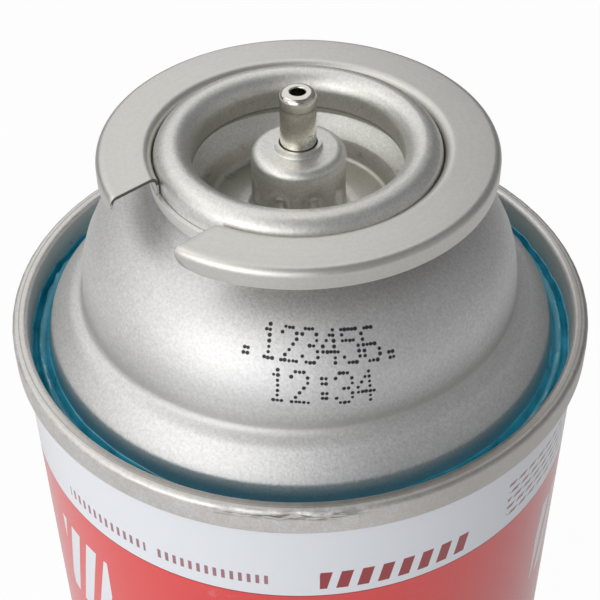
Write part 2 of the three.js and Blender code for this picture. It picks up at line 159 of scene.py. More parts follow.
class CollarSizes(bpy.types.PropertyGroup):
    """Bayonet collar, with heights above the crest of the top seam"""

    radius: length("Radius", 0.02205, "Outside of the skirt")
    top: length("Top", 0.0217, "Height of the flat")
    sheet: length("Sheet", 0.0005, "Thickness of the collar")
    edge_round: length("Edge round", 0.00065, "Rounding of the outer edge")
    roll_round: length("Roll round", 0.00085, "Rounding of the inner edge")
    skirt: length("Skirt", 0.0023, "Height of the skirt")
    sleeve_radius: length("Sleeve radius", 0.01645, "Outside of the sleeve")
    flange_height: length("Flange height", 0.01785, "Height of the flange under the dome's curl")
    flange_inner: length("Flange inner radius", 0.01458, "Inner edge of the flange")
    edge_sheet: length("Edge sheet", 0.00038, "Thickness of the flat, the skirt and their cut edges")
    notch: length("Notch", 0.0105, "Width of the notch")
    flare: length("Flare", 0.0031, "How far the skirt's ends are cut back beside the notch")
    ease: length("Ease", 0.00008, "Rounding of the notch's cut edges")
    dome_play: length("Dome play", 0.0001, "Gap between the flange and the dome under it")


class StemSizes(bpy.types.PropertyGroup):
    """Valve stem, with heights above the crest of the top seam"""

    radius: length("Radius", 0.00199, "Outside of the nozzle")
    top: length("Top", 0.0281, "Top of the nozzle")
    bore: length("Bore", 0.00083, "Radius of the bore")
    bore_depth: length("Bore depth", 0.0085, "Depth of the bore")
    flange_radius: length("Flange radius", 0.0031, "Radius of the flange under the gasket")
    flange_top: length("Flange top", 0.01961, "Top of the flange")
    flange: length("Flange", 0.0015, "Thickness of the flange")
    boss_radius: length("Boss radius", 0.0016, "Radius of the boss inside the spring")
    boss: length("Boss", 0.0014, "Length of the boss")
    spring_wire: length("Spring wire", 0.0005, "Thickness of the spring's wire")
    spring_turns: IntProperty(name="Spring turns", description="Turns, with the closed ones", default=6)


class CodeSizes(bpy.types.PropertyGroup):
    """Two rows of plain numbers in ink dots on the dome's side"""

    upper: StringProperty(name="Upper row", description="Characters of the upper row", default=".123456.")
    lower: StringProperty(name="Lower row", description="Characters of the lower row", default="12:34")
    turn: angle("Turn", 53.4, "Middle of both rows, from -Y towards +X")
    lean: FloatProperty(name="Lean", description="How steeply the rows fall to the right", default=0.09)
    foot: length("Foot", 0.0066, "Height of the lower row's foot above the top seam's crest")
    dot: length("Dot", 0.00022, "Radius of a dot")
    across: length("Step across", 0.00044, "Dot to dot along a row")
    upwards: length("Step upwards", 0.00057, "Dot to dot up the dome")
    row_gap: length("Row gap", 0.0045, "Foot of one row to foot of the next")
    thickness: length("Thickness", 0.00002, "Thickness of the ink")


class StudioSettings(bpy.types.PropertyGroup):
    """Camera, lamps and floor"""

    lens: FloatProperty(name="Lens", description="Focal length in millimetres", default=81.4)
    distance: length("Distance", 0.16183, "Camera to the centre of the top seam")
    azimuth: angle("Azimuth", 48.4, "Camera's turn round the can, from -Y towards +X")
    elevation: angle("Elevation", 40.95, "Camera's height over the top seam's plane")
    tilt: angle("Tilt", 0.337, "How far the camera looks below the top seam's centre")
    roll: angle("Roll", -0.627, "Camera's roll")
    floor_size: length("Floor size", 4.0, "Side of the floor")
    floor: colour("Floor", (0.60, 0.60, 0.61), "Colour of the floor")
    world: colour("World", (0.80, 0.82, 0.85), "Colour of the room")
    world_light: FloatProperty(name="World light", description="Strength of the room's light", default=0.26)
    floor_glow: FloatProperty(name="Floor glow", description="White that the camera sees", default=0.97)
    floor_mirrored: FloatProperty(name="Mirrored glow", description="The same in reflections", default=0.36)


def path_rounded(corners, arc_step=math.radians(9)):
    """Points along a path of (radius, height, rounding) corners.

    Each rounded corner becomes an arc that touches both of its lines, in equal turns of at most arc_step.
    """
    points = np.array([c[:2] for c in corners], float)
    out = []
    for i, (r, z, rounding) in enumerate(corners):
        if not rounding:
            out.append(points[i][None])
            continue
        inward = points[i] - points[i - 1]
        inward /= np.linalg.norm(inward)
        outward = points[i + 1] - points[i]
        outward /= np.linalg.norm(outward)
        turn = math.atan2(inward[0] * outward[1] - inward[1] * outward[0], inward @ outward)
        start = points[i] - inward * rounding * math.tan(abs(turn) / 2)
        side = math.copysign(1, turn)
        centre = start + side * rounding * np.array([-inward[1], inward[0]])
        steps = max(2, math.ceil(abs(turn) / arc_step))
        swing = np.linspace(0, turn, steps + 1)
        spoke = start - centre
        out.append(centre + np.outer(np.cos(swing), spoke) + np.outer(np.sin(swing), [-spoke[1], spoke[0]]))
    line = np.concatenate(out)
    far = np.linalg.norm(np.diff(line, axis=0), axis=1) > 1e-7
    return line[np.concatenate([[True], far])]


def path_filled(line, spacing):
    """The same path with extra points, so that no two neighbours are further apart than spacing."""
    gaps = np.linalg.norm(np.diff(line, axis=0), axis=1)
    counts = np.maximum(1, np.ceil(gaps / spacing)).astype(int)
    starts = np.repeat(line[:-1], counts, axis=0)
    runs = np.repeat(np.diff(line, axis=0), counts, axis=0)
    steps = np.concatenate([np.arange(n) / n for n in counts])
    return np.concatenate([starts + runs * steps[:, None], line[-1:]])


def path_beside(line, distance):
    """The path moved to its left by distance, with mitred corners."""
    runs = np.diff(line, axis=0)
    runs /= np.linalg.norm(runs, axis=1)[:, None]
    normals = np.stack([-runs[:, 1], runs[:, 0]], axis=1)
    before = np.concatenate([normals[:1], normals])
    after = np.concatenate([normals, normals[-1:]])
    mitre = before + after
    mitre /= np.linalg.norm(mitre, axis=1)[:, None]
    return line + mitre * (distance / np.sum(mitre * before, axis=1))[:, None]


def sheet_outline(line, thickness):
    """The closed outline, anticlockwise, of sheet metal whose middle runs along the path."""
    outline = np.concatenate([path_beside(line, -thickness / 2), path_beside(line, thickness / 2)[::-1]])
    r, z = outline.T
    area = np.sum(r * np.roll(z, -1) - z * np.roll(r, -1))
    return outline if area > 0 else outline[::-1]


def mesh_object(name, vertices, faces):
    """A mesh object at the origin. Its edges are smooth below 35 degrees and sharp above."""
    mesh = bpy.data.meshes.new(name)
    mesh.from_pydata(vertices, [], faces)
    mesh.validate()
    mesh.shade_smooth()
    mesh.set_sharp_from_angle(angle=math.radians(35))
    obj = bpy.data.objects.new(name, mesh)
    bpy.context.scene.collection.objects.link(obj)
    return obj


def round_axis(radius, turn, height):
    """Points at these radii, turns from -Y towards +X and heights."""
    return np.stack([radius * np.sin(turn), -radius * np.cos(turn), height], axis=-1)


def turned_object(name, outline, sides, shape=None):
    """An outline of (radius, height) turned round Z: vertex (i, j) is outline point i at side j's turn.

    The outline is closed unless both its ends lie on the axis. shape, if given, moves the points: it takes
    the arrays of radius, height and turn and returns the new radius and height.
    """
    closed = outline[0, 0] > 1e-9 or outline[-1, 0] > 1e-9
    ring = np.concatenate([outline, outline[:1]]) if closed else outline
    turns = np.linspace(0, 2 * np.pi, sides + 1)
    radius, around = np.meshgrid(ring[:, 0], turns, indexing="ij")
    height = np.repeat(ring[:, 1:2], sides + 1, axis=1)
    if shape is not None:
        radius, height = shape(radius, height, around)
    rows, columns = radius.shape
    grid = round_axis(radius, around, height)
    index = np.arange(rows * columns).reshape(rows, columns)
    index[:, -1] = index[:, 0]
    if closed:
        index[-1] = index[0]
    else:
        index[0] = index[0, 0]
        index[-1] = index[-1, 0]
    quads = np.stack([index[:-1, :-1], index[:-1, 1:], index[1:, 1:], index[1:, :-1]], axis=-1).reshape(-1, 4)
    used, compact = np.unique(quads, return_inverse=True)
    compact = compact.reshape(-1, 4).tolist()
    faces = [[quad[k] for k in range(4) if quad[k] != quad[k - 1]] for quad in compact]
    return mesh_object(name, grid.reshape(-1, 3)[used], faces)


def tube_object(name, rings):
    """A tube through rings of equally many points, with a face over each end."""
    index = np.arange(rings.shape[0] * rings.shape[1]).reshape(rings.shape[:2])
    after = np.roll(index, -1, axis=1)
    quads = np.stack([index[:-1], after[:-1], after[1:], index[1:]], axis=-1).reshape(-1, 4).tolist()
    return mesh_object(name, rings.reshape(-1, 3), [*quads, index[0][::-1].tolist(), index[-1].tolist()])


def math_method(operation):
    """A method of Value that makes one Math node."""

    def method(self, *others):
        return self.math(operation, *others)

    return method


class Value:
    """A shader socket that takes part in sums: + - * / and comparisons make Math nodes."""

    def __init__(self, graph, socket):
        self.graph = graph
        self.socket = socket

    def math(self, operation, *others, clamp=False):
        node = self.graph.nodes.new("ShaderNodeMath")
        node.operation = operation
        node.use_clamp = clamp
        for slot, value in zip(node.inputs, (self, *others)):
            self.graph.feed(slot, value)
        return Value(self.graph, node.outputs[0])

    __add__ = __radd__ = math_method("ADD")
    __mul__ = __rmul__ = math_method("MULTIPLY")
    __sub__ = math_method("SUBTRACT")
    __truediv__ = math_method("DIVIDE")
    __gt__ = math_method("GREATER_THAN")
    __lt__ = math_method("LESS_THAN")
    abs = math_method("ABSOLUTE")
    fraction = math_method("FRACT")
    power = math_method("POWER")
    atan2 = math_method("ARCTAN2")

    def __rsub__(self, other):
        return self.graph.value(other) - self

    def clamped(self):
        return self.math("ADD", 0, clamp=True)

    def ramp(self, low, high):
        """0 below low, 1 above high and a smooth step between. low may be the larger."""
        node = self.graph.nodes.new("ShaderNodeMapRange")
        node.interpolation_type = "SMOOTHSTEP"
        self.graph.feed(node.inputs["Value"], self)
        node.inputs["From Min"].default_value = low
        node.inputs["From Max"].default_value = high
        return Value(self.graph, node.outputs[0])

    def band(self, low, high, soft):
        """1 between low and high, 0 outside, over an edge that is soft wide."""
        return self.ramp(low - soft, low + soft) * (1 - self.ramp(high - soft, high + soft))


class Graph:
    """The node tree of one material."""

    def __init__(self, name):
        self.material = bpy.data.materials.new(name)
        self.material.use_nodes = True
        self.nodes = self.material.node_tree.nodes
        self.links = self.material.node_tree.links
        self.shader = self.nodes["Principled BSDF"]

    def feed(self, slot, value):
        """Sets a socket to a number or a colour, or links it to a value."""
        if isinstance(value, Value):
            self.links.new(value.socket, slot)
        elif isinstance(value, (tuple, list)) and len(slot.default_value) == 4:
            slot.default_value = (*value[:3], 1)
        else:
            slot.default_value = value

    def value(self, number):
        node = self.nodes.new("ShaderNodeValue")
        node.outputs[0].default_value = number
        return Value(self, node.outputs[0])

    def node(self, kind, output=0, **inputs):
        """Any other node: its inputs by name with _ for a space, and the output by name or number."""
        node = self.nodes.new(kind)
        for key, value in inputs.items():
            self.feed(node.inputs[key.replace("_", " ")], value)
        return Value(self, node.outputs[output])

    def place(self):
        """The place in the part's frame, in metres, as a vector and as X, Y and Z."""
        socket = self.node("ShaderNodeTexCoord", "Object")
        split = self.nodes.new("ShaderNodeSeparateXYZ")
        self.feed(split.inputs[0], socket)
        return socket, *(Value(self, s) for s in split.outputs)

    def vector(self, x, y, z):
        return self.node("ShaderNodeCombineXYZ", X=x, Y=y, Z=z)

    def noise(self, vector, scale, detail=3.0, roughness=0.55):
        return self.node(
            "ShaderNodeTexNoise", "Fac", Vector=vector, Scale=scale, Detail=detail, Roughness=roughness
        )

    def mix(self, factor, first, second):
        """A colour between two others."""
        node = self.nodes.new("ShaderNodeMix")
        node.data_type = "RGBA"
        self.feed(node.inputs["Factor"], factor)
        self.feed(node.inputs[6], first)
        self.feed(node.inputs[7], second)
        return Value(self, node.outputs[2])

    def bump(self, height, depth, strength=1.0):
        """A normal that shows height, from 0 to 1, as relief of the given depth in metres."""
        return self.node("ShaderNodeBump", Height=height, Distance=depth, Strength=strength)

    def surface(self, **inputs):
        for key, value in inputs.items():
            self.feed(self.shader.inputs[key.replace("_", " ")], value)
        return self.material


def groups(context, *names):
    """The scene's property groups of these names."""
    return [getattr(context.scene, "canister_" + name) for name in names]


def seam_pitch(can):
    """From the middle of one layer of a seam to the middle of the next."""
    return (can.end_sheet + can.body_sheet) / 2 + can.play


def chuck_radius(can):
    """Middle of the chuck wall's sheet at the crest."""
    return can.seam_radius - can.end_sheet / 2 - 4 * seam_pitch(can)


def chuck_foot(can):
    """Middle of the chuck wall's sheet at its foot."""
    return chuck_radius(can) - can.wall_lean


def body_radius(can):
    """Outside of the body."""
    return chuck_radius(can) + seam_pitch(can) + can.body_sheet / 2


def seam_corners(can, foot_radius, foot_depth, foot_round):
    """An end's share of the double seam, from its hook to the foot of the chuck wall, below the crest."""
    wall = can.seam_radius - can.end_sheet / 2
    hook = wall - 2 * seam_pitch(can)
    fold = can.seam_depth - can.end_sheet / 2
    crest = can.end_sheet / 2
    fold_round = (wall - hook) / 2 * HALF_CIRCLE
    return [
        (hook, -(crest + seam_pitch(can) + can.hook_gap), 0),
        (hook, -fold, fold_round),
        (wall, -fold, fold_round),
        (wall, -crest, can.seam_round),
        (chuck_radius(can) - can.crest_reach, -crest, can.seam_round),
        (foot_radius, -foot_depth, foot_round),
    ]


def path_raised(can, corners):
    """The rounded path of corners whose heights are given above the crest of the top seam."""
    return path_rounded([(r, z + can.height, rounding) for r, z, rounding in corners])


def dome_line(can, dome, cup, collar):
    """The middle of the dome's sheet, from the hook in the seam to the end of the curl."""
    outer = chuck_foot(can)
    inner = outer - dome.groove_width
    curl = cup.bead_round - cup.sheet / 2 - cup.seal - 2 * can.play - can.end_sheet / 2
    curl_top = cup.mouth_height + curl
    flange = collar.flange_height - collar.sheet / 2 - collar.dome_play
    corners = [
        *seam_corners(can, outer, dome.groove_depth, dome.groove_round),
        (inner, -dome.groove_depth, dome.groove_round),
        (inner - dome.riser_lean, dome.foot_height, 0.0008),
        (dome.bulge_radius, dome.bulge_height, 0.002),
        (dome.crease_radius, dome.crease_height, 0.0012),
        (dome.shoulder_radius, dome.shoulder_height, dome.shoulder_round),
        (collar.sleeve_radius + collar.sheet / 2, dome.neck_height, 0.002),
        (collar.flange_inner - collar.sheet, flange, 0.0005),
        (cup.mouth_radius - curl, cup.mouth_height - 0.0011, 0.0005),
        (cup.mouth_radius - curl, curl_top, curl * HALF_CIRCLE),
        (cup.mouth_radius + curl, curl_top, curl * HALF_CIRCLE),
        (cup.mouth_radius + curl, collar.flange_height + collar.sheet / 2 + can.play, 0),
    ]
    return path_raised(can, corners)


def cup_line(can, cup, stem):
    """The middle of the cup's sheet, from the skirt over the bead and the crimp to the lip round the stem."""
    wall = cup.mouth_radius - cup.bead_round
    top = cup.mouth_height + cup.bead_round
    pedestal = cup.pedestal_radius - cup.sheet / 2
    lip = stem.radius + cup.stem_play + cup.sheet / 2
    crimp = cup.mouth_height - cup.crimp_drop
    plate = cup.pedestal_top - cup.sheet / 2
    corners = [
        (cup.mouth_radius + cup.bead_round, cup.mouth_height - cup.skirt_drop, 0),
        (cup.mouth_radius + cup.bead_round, top, cup.bead_round * HALF_CIRCLE),
        (wall, top, cup.bead_round * HALF_CIRCLE),
        (wall, crimp + 0.0011, 0.00035),
        (wall + cup.crimp_reach, crimp, 0.0006),
        (cup.ridge_radius, cup.ridge_height, 0.0008),
        (cup.channel_radius, cup.channel_height, 0.0009),
        (pedestal, cup.channel_height, 0.0009),
        (pedestal, plate, 0.0009),
        (lip, plate, 0.0004),
        (lip, cup.lip_top, 0),
    ]
    return path_raised(can, corners)


def metal(name, base, roughness, grain, streak, stain=0.06, layers=None):
    """Satin sheet metal: fine grain, faint stretch marks round the axis and slow changes of tone.

    layers, if given, takes the graph, the place, the millimetres from the axis, the height and the degrees
    from -Y, and returns what lies over the metal: each layer's mask, colour, metallic share and roughness.
    """
    g = Graph(name)
    place, x, y, z = g.place()
    radius = (x * x + y * y).power(0.5)
    fine = g.noise(place, 3000, 4, 0.75)
    slow = g.noise(place, 90, 4, 0.6)
    relief = 0.00003
    rings = g.noise(g.vector(radius, z, 0), 1800, 3, 0.6)
    tone = 1 + (slow - 0.5) * stain * 2 + (rings - 0.5) * streak + (fine - 0.5) * grain * 0.7
    dark = tuple(c * 0.8 for c in base)
    bright = tuple(min(1, c * 1.12) for c in base)
    shade = g.mix(((tone - 0.8) * 2.5).clamped(), dark, bright)
    rough = roughness + (slow - 0.5) * 0.12 + (fine - 0.5) * 0.1
    metallic = 1.0
    if layers is not None:
        turn = x.atan2(y * -1) * math.degrees(1)
        for mask, colour, share, finish in layers(g, place, radius / MM, z, turn):
            shade = g.mix(mask, shade, colour)
            metallic = metallic * (1 - mask) + share * mask
            rough = rough * (1 - mask) + finish * mask
    return g.surface(
        Base_Color=shade,
        Metallic=metallic,
        Roughness=rough,
        Normal=g.bump(fine * grain + rings * streak, relief),
    )


class CANISTER_OT_can(bpy.types.Operator):
    """Builds the printed can body and the dished bottom end"""

    bl_idname = "canister.can"
    bl_label = "Build can and bottom"

    def execute(self, context):
        can = context.scene.canister_can
        thickness, row_height = 0.0002, 0.004
        outside = body_radius(can)
        seam_edge = can.seam_depth - thickness
        line = np.array([[outside, seam_edge], [outside, can.height - seam_edge]])
        skin = path_filled(line, row_height)
        inside = skin[::-1] - [thickness, 0]
        body = turned_object("can_body_skin", np.concatenate([skin, inside]), SIDES)
        body.data.materials.append(print_material(context))
        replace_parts(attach(body, CAN), "can_body")

        rim = chuck_foot(can)
        ball = (rim**2 + can.dish_rise**2) / (2 * can.dish_rise)
        top = can.dish_rim + can.dish_rise
        shares = np.array([0.9, 0.75, 0.6, 0.45, 0.3, 0.15])
        dish = [(rim * s, top - ball + math.sqrt(ball**2 - (rim * s) ** 2), 0) for s in shares]
        flipped = [(r, -z, rounding) for r, z, rounding in seam_corners(can, rim, can.dish_rim, 0.0012)]
        outline = sheet_outline(path_rounded([*flipped, *dish, (1e-12, top, 0)]), can.end_sheet)
        middle = np.flatnonzero(outline[:, 0] < 0.0005)
        outline = np.roll(outline, -middle[-1] if middle[-1] - middle[0] == 1 else -middle[0], axis=0)
        outline[[0, -1], 0] = 0
        bottom = turned_object("bottom_end_skin", outline, SIDES)
        bottom.data.materials.append(metal("bottom tinplate", (0.66, 0.67, 0.67), 0.34, 0.5, 0.15))
        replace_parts(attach(bottom, CAN), "bottom_end")
        return {"FINISHED"}


def print_material(context):
    """Lacquered print: white over red, with rows of dashes and slanted bars as plain ornament."""
    g = Graph("lacquered print")
    place, x, y, z = g.place()
    can = context.scene.canister_can
    below = (can.height - z) / MM
    turn = x.atan2(y * -1) * math.degrees(1)
    arc = turn * math.radians(body_radius(can)) / MM
    leaning = arc + below * 0.22
    soft = 0.03

    def bars(place_along, period, width):
        """1 on bars of the given width, one in each period."""
        share = (place_along / period).fraction() * period
        return share.band(soft, width, soft)

    def window(first, last, top, bottom):
        """1 between two turns in degrees and two depths in millimetres below the crest."""
        return turn.band(first, last, 0.05) * below.band(top, bottom, soft)

    white, red = (0.86, 0.88, 0.92), (0.82, 0.040, 0.038)
    deep_red, grey = (0.34, 0.012, 0.02), (0.36, 0.16, 0.18)
    low_band = below.ramp(139.0, 139.1)
    shade = g.mix(below.ramp(14.80, 14.90) * (1 - low_band), white, red)
    rule = below.band(14.78, 14.95, soft) + below.band(138.6, 138.9, soft)
    shade = g.mix(rule.clamped(), shade, deep_red)

    bold = window(51.5, 82.5, 10.9, 13.7) * bars(leaning, 2.3, 1.35)
    small = window(-4.5, 42.5, 11.5, 12.95) * bars(arc, 0.95, 0.45) * (1 - turn.band(17.0, 19.5, 0.1))
    notes = window(92.0, 124.0, 7.0, 13.2) * bars(below, 1.25, 0.55) * bars(arc + below, 1.9, 1.35)
    shade = g.mix(bold, shade, deep_red)
    shade = g.mix((small + notes).clamped(), shade, grey)

    third = ((turn + 14) / 120).fraction() * 120
    blocks = third.band(2.0, 19.0, 0.05) * below.band(20.5, 34.0, soft) * bars(leaning, 3.4, 2.0)
    sweep = third.band(34.0, 72.0, 0.05) * below.band(44.0, 96.0, soft) * bars(leaning, 8.5, 5.2)
    lines = third.band(4.0, 60.0, 0.05) * below.band(108.0, 130.0, soft)
    lines = lines * bars(below, 2.4, 0.8) * bars(arc + below * 1.7, 3.1, 2.3)
    shade = g.mix((blocks + sweep + lines).clamped(), shade, white)

    speck = g.noise(place, 2600, 2, 0.5)
    scuff = g.noise(place, 160, 5, 0.7).ramp(0.66, 0.74) * 0.25
    shade = g.mix(scuff * speck, shade, (0.75, 0.73, 0.72))
    return g.surface(
        Base_Color=shade,
        Roughness=0.30 + (speck - 0.5) * 0.05 + scuff * 0.3,
        Coat_Weight=0.6 - scuff,
        Coat_Roughness=0.08,
        Normal=g.bump(g.noise(place, 700, 2), 0.00001, 0.4),
    )


def unit(vector):
    return vector / np.linalg.norm(vector)


def sealant_outline(can, dome):
    """Sealant in the groove: it rests on the groove's skin, and a film that thins out climbs both walls."""
    outer = chuck_foot(can)
    inner = outer - dome.groove_width
    corners = [
        (chuck_radius(can) - can.crest_reach, 0, 0),
        (outer, -dome.groove_depth, dome.groove_round),
        (inner, -dome.groove_depth, dome.groove_round),
        (inner - dome.riser_lean, dome.foot_height, 0),
    ]
    skin = path_beside(path_raised(can, corners), -can.end_sheet / 2)
    up_wall, up_riser = unit(skin[0] - skin[1]), unit(skin[-1] - skin[-2])
    off_wall, off_riser = np.array([-up_wall[1], up_wall[0]]), np.array([up_riser[1], -up_riser[0]])
    climbs, offs = np.array([1, 0.94, 0.8, 0.55, 0.3]), np.array([0, 0.6, 0.9, 1, 1.3])
    films = [
        foot + up * climbs[:, None] * creep + off * offs[:, None] * dome.sealant_film
        for foot, up, off, creep in (
            (skin[-2], up_riser, off_riser, dome.riser_creep),
            (skin[1], up_wall, off_wall, dome.wall_creep),
        )
    ]
    level = skin[:, 1].min() + dome.sealant_depth
    across = np.linspace(-1, 1, 13)[1:-1]
    middle = (films[0][-1] + films[1][-1]) / 2
    reach = (films[1][-1, 0] - films[0][-1, 0]) / 2
    rim = np.where(across < 0, films[0][-1, 1], films[1][-1, 1])
    crown_height = 0.0007
    crown = crown_height * np.exp(-(((across + 0.2) / 0.4) ** 2))
    pool = np.stack([middle[0] + across * reach, level + crown + (rim - level) * np.abs(across) ** 3], axis=1)
    return np.concatenate([skin[1:-1], films[0], pool, films[1][::-1]])


def wave(around, *parts):
    """A sum of sines round the can: each part is how many waves, how high and how far along."""
    return sum(high * np.sin(count * around + shift) for count, high, shift in parts)


class CANISTER_OT_dome(bpy.types.Operator):
    """Builds the top dome with its seam, and the sealant in its groove"""

    bl_idname = "canister.dome"
    bl_label = "Build dome and sealant"

    def execute(self, context):
        can, dome, cup, collar = groups(context, "can", "dome", "cup", "collar")
        line = dome_line(can, dome, cup, collar)
        lap_turn, lap_reach, lap_depth, ripple = math.radians(46), 0.004, 0.00022, 0.00002

        def creased(radius, height, around):
            """Dents the seam's upper edge where the side lap passes under it, and ripples it faintly."""
            side = (around - lap_turn) * can.seam_radius
            drop = can.height - height
            edge = np.exp(-(((drop - can.seam_round) / 0.0007) ** 2)) * (radius > can.seam_radius - 0.0006)
            folds = 0.5 + 0.5 * np.sin(side / 0.0011 + 2 * np.sin(side / 0.0017))
            dent = np.exp(-((side / lap_reach) ** 2)) * folds * lap_depth
            return radius - edge * (dent + ripple * (1 + wave(around, (61, 0.6, 0), (143, 0.4, 1)))), height

        def layers(g, place, reach, z, turn):
            """Warm tin on the seam, the lap with painted shade in its folds, painted shade on the seam's
            crest, front and right side and in the crease, and the sealant's stain in the groove.
            """
            drop = (can.height - z) / MM
            mottled = g.noise(place, 900, 4, 0.7)
            seam = reach.ramp(32.2, 32.6)
            wall = reach.ramp(31.6, 31.9) * (1 - reach.ramp(32.54, 32.62)) * drop.ramp(0.25, 0.5)
            # Painted shade: a dark line along the seam's crest
            crest = reach.band(33.12, 33.26, 0.04) * (drop < 0.5)
            # Painted shade: the seam's outer side darkened at the front of the can
            painted_shade_seam_front = reach.band(32.5, 33.1, 0.15) * (drop < 0.8) * turn.band(0.0, 100.0, 15.0)
            # Painted shade: the seam darkened on the can's right side
            painted_shade_seam_right = seam * turn.band(68.0, 150.0, 12.0)
            # Painted shade in the crease under the shoulder
            crease = (1 - reach.ramp(25.5, 25.9)) * (drop * -1).band(2.4, 4.4, 1.4)
            # The side lap under the seam, painted dark as shade in its folds
            lap = turn.band(34.0, 58.0, 5.0) * seam * drop.band(0.15, 1.1, 0.3)
            lap = lap * g.noise(g.vector(turn * 0.0002, z * 2.4, 0), 1100, 4, 0.6).ramp(0.44, 0.6)
            groove = reach.band(29.0, 32.5, 0.1) * drop.ramp(0.6, 2.6)
            specks = groove * (mottled + drop * 0.05).ramp(0.78, 0.92)
            riser = reach.band(28.6, 30.8, 0.3) * drop.ramp(0.3, 2.6)
            return [
                (wall * 0.8, (0.60, 0.58, 0.52), 0.3, 0.6),
                (seam * mottled.ramp(0.3, 0.8) * 0.8, (0.66, 0.60, 0.52), 1.0, 0.26),
                (crest * 0.45, (0.16, 0.15, 0.14), 1.0, 0.4),
                (painted_shade_seam_front * 0.6, (0.22, 0.20, 0.17), 1.0, 0.35),
                (painted_shade_seam_right * 0.45, (0.36, 0.33, 0.30), 1.0, 0.4),
                (crease * 0.5, (0.40, 0.39, 0.37), 1.0, 0.5),
                (lap * 0.8, (0.12, 0.11, 0.10), 0.9, 0.35),
                (specks * 0.8, (0.02, 0.12, 0.20), 0.2, 0.3),
                (riser * 0.75, (0.02, 0.28, 0.40), 0.6, 0.35),
            ]

        obj = turned_object("top_dome_skin", sheet_outline(line, can.end_sheet), DOME_SIDES, creased)
        obj.data.materials.append(metal("dome tinplate", (0.76, 0.75, 0.74), 0.55, 1.25, 0.1, layers=layers))
        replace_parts(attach(obj, CAN), "top_dome")

        outline = sealant_outline(can, dome)
        middle = (outline[:, 0].max() + outline[:, 0].min()) / 2
        low = can.height - dome.groove_depth + dome.sealant_depth
        riser_height = dome.groove_depth * 0.82
        wander_reach = pool_depth = 0.0006
        # Each bubble's turn in degrees, radius and size
        bubbles = [(-55, 0.0309, 0.0005), (-24, 0.0313, 0.0007), (-20, 0.0309, 0.0004), (124, 0.0308, 0.0006)]

        def crept(radius, height, around):
            """Lets the film's edges wander up and down their walls, and raises bubbles out of the pool."""
            wall = radius > middle
            creep = np.where(wall, dome.wall_creep, dome.riser_creep)
            share = np.clip((height - low) / creep, 0, 1)
            wander = np.where(
                wall,
                wave(around, (5, 0.3, 0), (13, 0.3, 1), (37, 0.25, 2), (71, 0.15, 0)),
                wave(around, (4, 0.2, 2), (11, 0.2, 0), (29, 0.1, 1)),
            )
            rise = share * wander * wander_reach
            lean = np.where(wall, can.wall_lean / dome.groove_depth, -dome.riser_lean / riser_height)
            for turn, where, size in bubbles:
                side = (np.mod(around - math.radians(turn) + np.pi, 2 * np.pi) - np.pi) * where
                spot = np.exp(-((side / size) ** 2) - ((radius - where) / size) ** 2)
                rise = rise + np.where(height > low - pool_depth, spot * size * 0.9, 0)
            return radius + lean * rise, height + rise

        sealant = turned_object("rim_sealant_bead", outline, SEALANT_SIDES, crept)
        g = Graph("teal sealant")
        place, x, y, z = g.place()
        cloud = g.noise(place, 420, 3, 0.5)
        radius = (x * x + y * y).power(0.5)
        # A painted highlight: a bright cyan band along the middle of the sealant
        ridge = radius.band(middle - 0.0004, middle, 0.0003)
        deep = g.mix(cloud.ramp(0.3, 0.7), (0.0, 0.27, 0.40), (0.02, 0.42, 0.60))
        g.surface(
            Base_Color=g.mix(ridge * 0.9, deep, (0.50, 0.93, 1.0)),
            Roughness=0.24 + cloud * 0.1,
            Coat_Weight=0.5,
            Coat_Roughness=0.08,
            Normal=g.bump(cloud, 0.00004),
        )
        sealant.data.materials.append(g.material)
        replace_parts(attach(sealant, CAN), "rim_sealant")
        return {"FINISHED"}


GLYPHS = {
    "1": ("..#..", ".##..", "..#..", "..#..", "..#..", "..#..", ".###."),
    "2": (".###.", "#...#", "....#", "...#.", "..#..", ".#...", "#####"),
    "3": (".###.", "#...#", "....#", "..##.", "....#", "#...#", ".###."),
    "4": ("...#.", "..##.", ".#.#.", "#..#.", "#####", "...#.", "...#."),
    "5": ("#####", "#....", "####.", "....#", "....#", "#...#", ".###."),
    "6": (".###.", "#....", "#....", "####.", "#...#", "#...#", ".###."),
    ":": (".....", "..##.", "..##.", ".....", "..##.", "..##.", "....."),
    ".": (".....", ".....", ".....", ".....", ".....", ".##..", ".##.."),
}


def spokes(first, second, sides):
    """Unit vectors all round, from first through second, for each pair of unit vectors at right angles."""
    swing = np.linspace(0, 2 * np.pi, sides + 1)[:-1][None, :, None]
    return first[:, None] * np.cos(swing) + second[:, None] * np.sin(swing)


